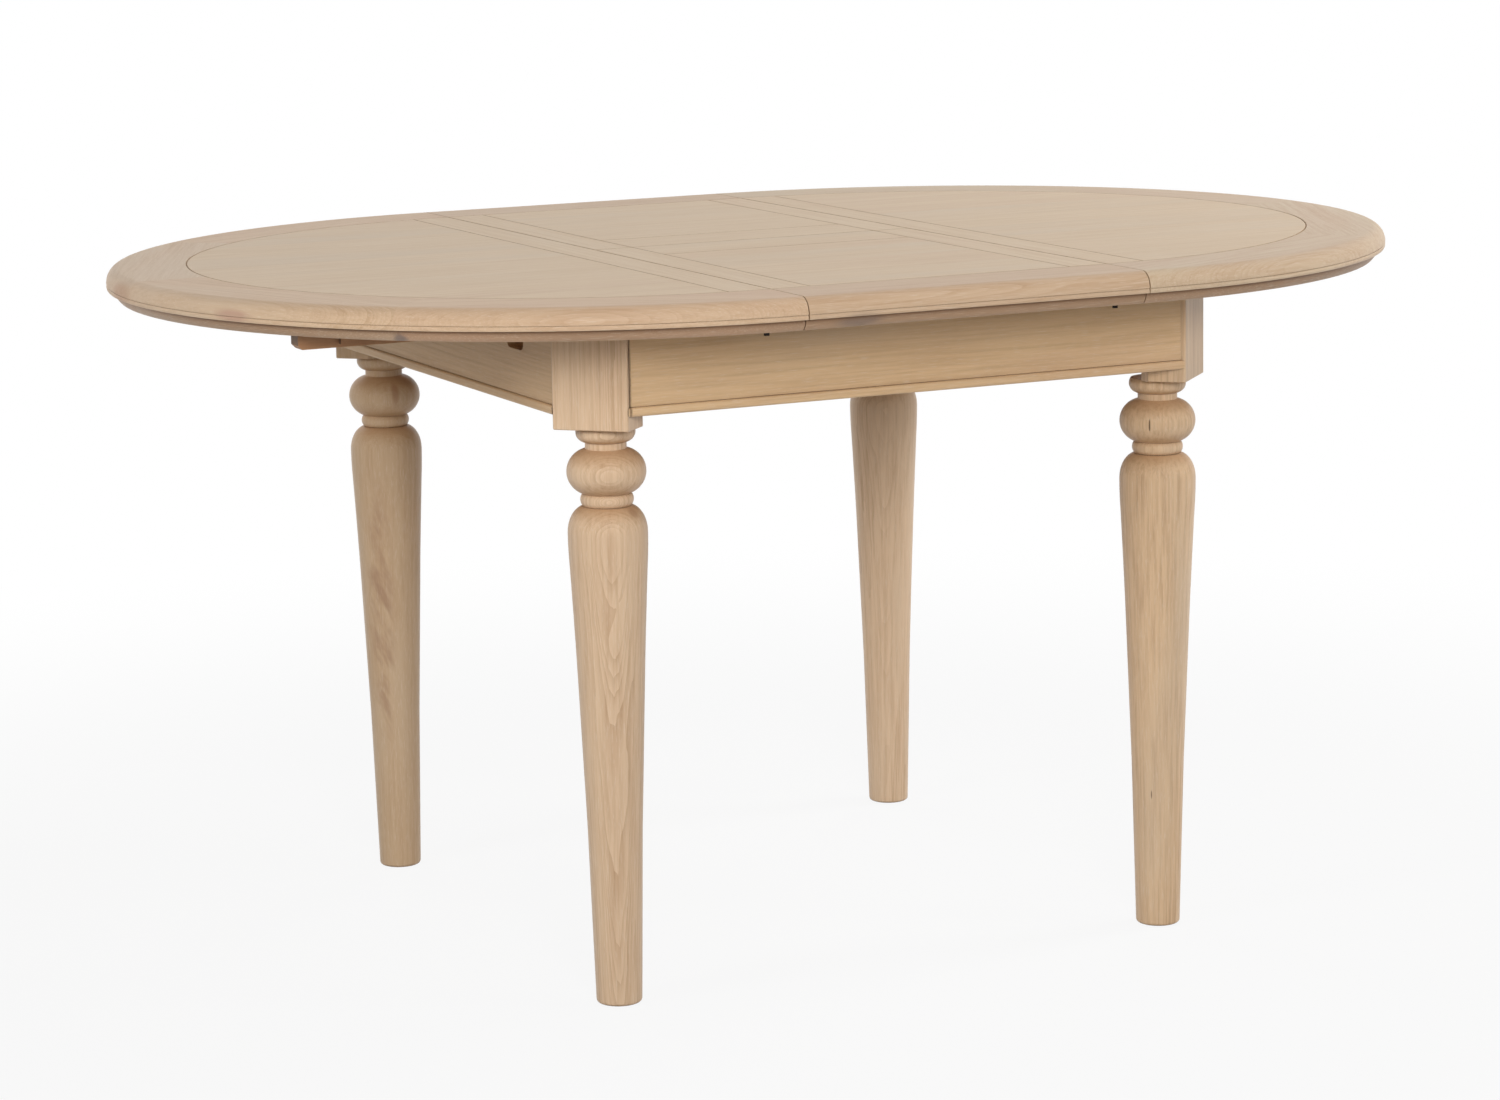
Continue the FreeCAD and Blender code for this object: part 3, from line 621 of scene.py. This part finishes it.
def rim_grain(tree, side, draw):
    """Place in the wood of a rim: straight lengths that meet at even angles round half a circle."""
    x, y, deep = add(tree, "SeparateXYZ", add(tree, "TexCoord").outputs["Object"]).outputs
    forward = calc(tree, "MULTIPLY", calc(tree, "SUBTRACT", x, side * SEAM_X), side)
    length = math.pi / RIM_LENGTHS
    turn = calc(tree, "ARCTAN2", y, forward)
    number = calc(tree, "FLOOR", calc(tree, "DIVIDE", turn, length))
    facing = calc(tree, "MULTIPLY_ADD", number, length, length / 2)
    cosine = calc(tree, "COSINE", facing)
    sine = calc(tree, "SINE", facing)
    across = calc(tree, "ADD", calc(tree, "MULTIPLY", forward, cosine),
                  calc(tree, "MULTIPLY", y, sine))
    along = calc(tree, "SUBTRACT", calc(tree, "MULTIPLY", y, cosine),
                 calc(tree, "MULTIPLY", forward, sine))
    return apart(tree, (along, across, deep), number, draw)


FIELD_BOARD = 0.105
FIRST_JOINT = 0.37


def board_grain(tree, draw):
    """Place in the wood of a field, made of boards that run along the table side by side."""
    wood, _ = straight_grain(tree, "X")
    from_joint = calc(tree, "ADD", wood[1], FIELD_BOARD * FIRST_JOINT)
    number = calc(tree, "FLOOR", calc(tree, "DIVIDE", from_joint, FIELD_BOARD))
    return apart(tree, wood, number, draw)


# The V-groove slopes and the eased ends at the seams are painted darker: painted shade in grooves
# and seams.
GROOVE_SHADE_PALE = srgb(176, 147, 117)
GROOVE_SHADE_DARK = srgb(148, 118, 88)
GROOVE_SHADE_WAVES = ((90, 90, 90), 3.0, 0.6)
GROOVE_SHADE_DARKENS = (0.3, 0.7)
GROOVE_DULLNESS = 0.7
GROOVE_DEPTH = 0.0012
GROOVE_SLOPES = (0.4, 0.86)
groove_shade, tree, shader = blank_material("groove_shade")
groove_blotches = noise(tree, straight_grain(tree, "X")[0], *GROOVE_SHADE_WAVES)
groove_colour = blended(tree, ramp(tree, groove_blotches, *GROOVE_SHADE_DARKENS), GROOVE_SHADE_PALE, GROOVE_SHADE_DARK)
tree.links.new(groove_colour, shader.inputs["Base Color"])
shader.inputs["Roughness"].default_value = GROOVE_DULLNESS


def shade_grooves(piece):
    """The small slopes of the V-grooves in the top are painted darker: painted shade in the
    grooves.
    """
    piece.data.materials.append(groove_shade)
    steepest, gentlest = GROOVE_SLOPES
    for face in piece.data.polygons:
        if face.center.z > TOP - GROOVE_DEPTH and steepest < face.normal.z < gentlest:
            face.material_index = GROOVE_SLOT


# The rim's lengths differ a little: a rosy lens by the left front, brown heartwood at the far left.
ROSY_LENS = srgb(176, 136, 120)
BROWN_LENGTH = srgb(166, 118, 84)
KNOT = srgb(120, 106, 98)
RIM_TONES = {"left": srgb(209, 180, 149), "right": srgb(206, 185, 157)}
RIM_MARKS = {"left": [((-0.7036, -0.22, 0.758), (0.016, 0.052, 0.0085), ROSY_LENS, 0.6),
                      ((-0.745, 0.03, 0.76), (0.016, 0.045, 0.014), BROWN_LENGTH, 0.5)]}
RIM_OAK = dict(ring=0.0019, figure=0.4, tilt=0.03, blush=0.3)
RIM_HEART = (0.38, TOP - 0.12)
# The mouldings are of a darker, greyer oak, which partly stands in as painted shade under the
# overhanging rim, and they are painted darker still close under the rim: painted shade.
PAINTED_SHADE_UNDER_RIM = (0.016, 0.98, 0.62)
MOULDING_MARKS = {"left": [((-0.5776, -0.381, 0.743), (0.011, 0.01, 0.008), KNOT, 0.85)]}
MOULDING_OAK = dict(ring=0.0022, figure=0.3, tilt=0.03, pale=srgb(168, 137, 109), painted_shade=PAINTED_SHADE_UNDER_RIM)
MOULDING_HEART = (0.4, TOP - 0.2)
# The fields and strips are of quieter boards.
FIELD_OAK = dict(figure=0.2, tilt=0.01, pale=srgb(213, 188, 156), blush=0.2, streaky=0.22)
FIELD_HEART = (0.3, TOP - 0.24)
STRIP_HEART_ASIDE = 0.2
STRIP_HEART_DEEP = TOP - 0.2
# The draws give the boards of each panel their own tones.
RIM_DRAW = 3.3
MOULDING_DRAW = 7.3
FIELD_DRAW = 11.3
rim_section = end_section("left_rim", -SEAM_X)
moulding_section = end_section("left_rim_moulding", -SEAM_X)
for count, (name, side) in enumerate((("left", -1), ("right", 1))):
    stations = rim_stations(side)
    oak = limed_oak(name + "_rim_oak", (rim_grain, side, RIM_DRAW + side), RIM_HEART,
                    plank=11 + count, pale=RIM_TONES[name], marks=RIM_MARKS.get(name, ()),
                    **RIM_OAK)
    rim = swept(name + "_rim_turned", rim_section, stations, name + "_rim", oak, shaded_ends=True)
    shade_grooves(rim)

    oak = limed_oak(name + "_moulding_oak", (rim_grain, side, MOULDING_DRAW + side), MOULDING_HEART,
                    plank=13 + count, marks=MOULDING_MARKS.get(name, ()), **MOULDING_OAK)
    swept(name + "_rim_moulding_run", moulding_section, stations, name + "_rim_moulding", oak)

    oak = limed_oak(name + "_field_oak", (board_grain, FIELD_DRAW + side), FIELD_HEART,
                    plank=15 + count, **FIELD_OAK)
    shade_grooves(sanded(name + "_field", oak, easing=FINE_EDGE))

    heart = (side * SEAM_X + STRIP_HEART_ASIDE, STRIP_HEART_DEEP)
    oak = limed_oak(name + "_strip_oak", (straight_grain, "Y"), heart, plank=17 + count,
                    **FIELD_OAK)
    shade_grooves(sanded(name + "_seam_strip", oak, easing=FINE_EDGE))


# Folding leaf.
# The leaf is built of oak like the ends, in two halves: an outer border with its moulding, side
# strips, a field and a strip along the fold, glued together. It lies on the runners.
BORDER_PALE = srgb(204, 176, 147)
BORDER_HEART_OUT = 0.4
BORDER_HEART_DEEP = TOP - 0.13
LEAF_MOULDING_HEART_DEEP = TOP - 0.2
LEAF_STRIP_HEART = (0.1, TOP - 0.2)
LEAF_FIELD_DRAW = 22.3
# A knot runs through the front border and the moulding under it.
LEAF_MARKS = {"front": [((-0.1374, -0.5414, 0.7483), (0.034, 0.014, 0.012), KNOT, 0.65)]}
border_section = end_section("leaf_front_border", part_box("leaf_front_border")[1].x)
leaf_moulding_section = end_section("leaf_front_moulding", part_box("leaf_front_moulding")[1].x)
for count, (name, side) in enumerate((("front", -1), ("back", 1))):
    leaf = "leaf_" + name + "_"
    marks = LEAF_MARKS.get(name, ())
    half_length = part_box(leaf + "border")[1].x
    inside = half_length - SEAM_EDGE
    stations = [(Vector((side * x, 0)), Vector((0, side)))
                for x in (-half_length, -inside, inside, half_length)]

    oak = limed_oak(leaf + "border_oak", (straight_grain, "X"),
                    (side * BORDER_HEART_OUT, BORDER_HEART_DEEP), plank=19 + count,
                    pale=BORDER_PALE, marks=marks, **RIM_OAK)
    border = swept(leaf + "border_run", border_section, stations, leaf + "border", oak, shaded_ends=True)
    shade_grooves(border)

    oak = limed_oak(leaf + "moulding_oak", (straight_grain, "X"),
                    (side * BORDER_HEART_OUT, LEAF_MOULDING_HEART_DEEP), plank=25 + count,
                    marks=marks, **MOULDING_OAK)
    swept(leaf + "moulding_run", leaf_moulding_section, stations, leaf + "moulding", oak)

    field_oak = limed_oak(leaf + "field_oak", (board_grain, LEAF_FIELD_DRAW + side), FIELD_HEART,
                          plank=21 + count, **FIELD_OAK)
    strip_oak = limed_oak(leaf + "strip_oak", (straight_grain, "Y"), LEAF_STRIP_HEART,
                          plank=23 + count, **FIELD_OAK)
    for part, oak in (("field", field_oak), ("fold_strip", field_oak),
                      ("left_strip", strip_oak), ("right_strip", strip_oak)):
        shade_grooves(sanded(leaf + part, oak, easing=FINE_EDGE))


# Barrel hinges and leaf locks.
# Brass barrels are let into the fold edges of the leaf. Hooks of blackened steel, each on a screw
# under an end, turn to catch pins under the leaf.
barrel_brass = metal("barrel_brass", srgb(198, 160, 88), srgb(150, 112, 58), roughness=0.3)
black_steel = metal("black_steel", srgb(52, 48, 44), srgb(36, 32, 30), roughness=0.4)
for name in ("front", "back"):
    keep_cad("leaf_" + name + "_hinge_barrels", barrel_brass)
    keep_cad("leaf_" + name + "_lock_pins", black_steel)
    for side in ("left", "right"):
        keep_cad(name + "_" + side + "_lock_hook", black_steel)


# Floor, light and camera.
# A pale studio floor fades into a white room. Soft disk lamps stand all round, most of them in
# front and at the sides, a little above the table.
FLOOR_SIZE = 30.0
FLOOR_UNDER_FEET = -0.0005
FLOOR_SHADE = 0.5
FLOOR_DULLNESS = 0.9
SHADOW_SHARE = 0.1
SHADOW_FADES = (2.4, 0.9)
WHITE = (1.0, 1.0, 1.0, 1.0)


def seen_as_background(tree):
    """1 for what is seen straight, in a reflection or through glass, 0 for light on the table."""
    path = add(tree, "LightPath").outputs
    seen = calc(tree, "MAXIMUM", path["Is Camera Ray"], path["Is Glossy Ray"])
    return calc(tree, "MAXIMUM", seen, path["Is Transmission Ray"])


floor_paint, tree, shader = blank_material("floor_paint")
shader.inputs["Base Color"].default_value = (FLOOR_SHADE, FLOOR_SHADE, FLOOR_SHADE, 1.0)
shader.inputs["Roughness"].default_value = FLOOR_DULLNESS
here = add(tree, "TexCoord").outputs["Object"]
away = add(tree, "VectorMath", here, operation="LENGTH").outputs["Value"]
shadow = calc(tree, "MULTIPLY", ramp(tree, away, *SHADOW_FADES), SHADOW_SHARE)
white = add(tree, "Emission", WHITE, 1.0).outputs[0]
share = calc(tree, "MULTIPLY", seen_as_background(tree), calc(tree, "SUBTRACT", 1.0, shadow))
mixed = add(tree, "MixShader", share, shader.outputs[0], white)
tree.links.new(mixed.outputs[0], tree.nodes["Material Output"].inputs["Surface"])
half = FLOOR_SIZE / 2
floor_mesh = bpy.data.meshes.new("studio_floor")
floor_mesh.from_pydata([(-half, -half, 0), (half, -half, 0), (half, half, 0), (-half, half, 0)],
                       [], [(0, 1, 2, 3)])
floor_mesh.materials.append(floor_paint)
floor = bpy.data.objects.new("studio_floor", floor_mesh)
floor.location.z = FLOOR_UNDER_FEET
bpy.context.scene.collection.objects.link(floor)

ROOM_LIGHT = 0.05
world = bpy.data.worlds.new("white_room")
bpy.context.scene.world = world
world.use_nodes = True
tree = world.node_tree
tree.nodes.clear()
room = add(tree, "Background", WHITE, ROOM_LIGHT).outputs[0]
backdrop = add(tree, "Background", WHITE, 1.0).outputs[0]
mixed = add(tree, "MixShader", seen_as_background(tree), room, backdrop)
output = add(tree, "OutputWorld")
tree.links.new(mixed.outputs[0], output.inputs["Surface"])

# Each lamp's place, width and watts.
LAMPS = {"front_lamp": ((-1.2, -3.6, 2.4), 1.2, 23),
         "low_front_lamp": ((-1.2, -4.0, 1.7), 1.1, 67),
         "left_lamp": ((-3.6, -0.9, 1.75), 1.2, 44),
         "right_lamp": ((3.4, -0.3, 2.9), 1.4, 82),
         "right_front_lamp": ((3.1, -2.6, 2.0), 1.0, 27),
         "right_back_lamp": ((2.8, 2.6, 2.0), 1.6, 28),
         "back_lamp": ((-0.6, 3.9, 1.7), 2.4, 40),
         "left_back_lamp": ((-3.0, 2.6, 1.7), 1.6, 12)}
LAMPS_AIM_AT = Vector((0, 0, 0.5))
# Only the front lamp shows in the polish, so that the top doesn't glare from the other sides.
MIRRORED_LAMP = "front_lamp"
for name, (place, width, watts) in LAMPS.items():
    lamp = bpy.data.lights.new(name, "AREA")
    lamp.shape = "DISK"
    lamp.size = width
    lamp.energy = watts
    holder = bpy.data.objects.new(name, lamp)
    holder.location = place
    holder.visible_glossy = name == MIRRORED_LAMP
    holder.rotation_euler = (LAMPS_AIM_AT - Vector(place)).to_track_quat("-Z", "Y").to_euler()
    bpy.context.scene.collection.objects.link(holder)

# The camera stands where the fitted view puts it, a little above the table and to its left.
FILM_WIDTH = 36.0
LENS = 98.859
VIEW_YAW = math.radians(23.742)
VIEW_DIP = math.radians(10.237)
VIEW_ROLL = math.radians(-1.324)
VIEW_SHIFT = 0.0667
forward = Vector((math.sin(VIEW_YAW) * math.cos(VIEW_DIP), math.cos(VIEW_YAW) * math.cos(VIEW_DIP),
                  -math.sin(VIEW_DIP)))
level = Vector((math.cos(VIEW_YAW), -math.sin(VIEW_YAW), 0))
upright = level.cross(forward)
right = level * math.cos(VIEW_ROLL) + upright * math.sin(VIEW_ROLL)
up = upright * math.cos(VIEW_ROLL) - level * math.sin(VIEW_ROLL)
view = bpy.data.cameras.new("view")
view.lens = LENS
view.sensor_width = FILM_WIDTH
view.shift_x = VIEW_SHIFT
camera = bpy.data.objects.new("view", view)
turn = Matrix((right, up, -forward)).transposed()
camera.matrix_world = Matrix.Translation(CAMERA_PLACE) @ turn.to_4x4()
bpy.context.scene.collection.objects.link(camera)
bpy.context.scene.camera = camera
bpy.context.scene.view_settings.view_transform = "Standard"

bpy.context.view_layer.update()
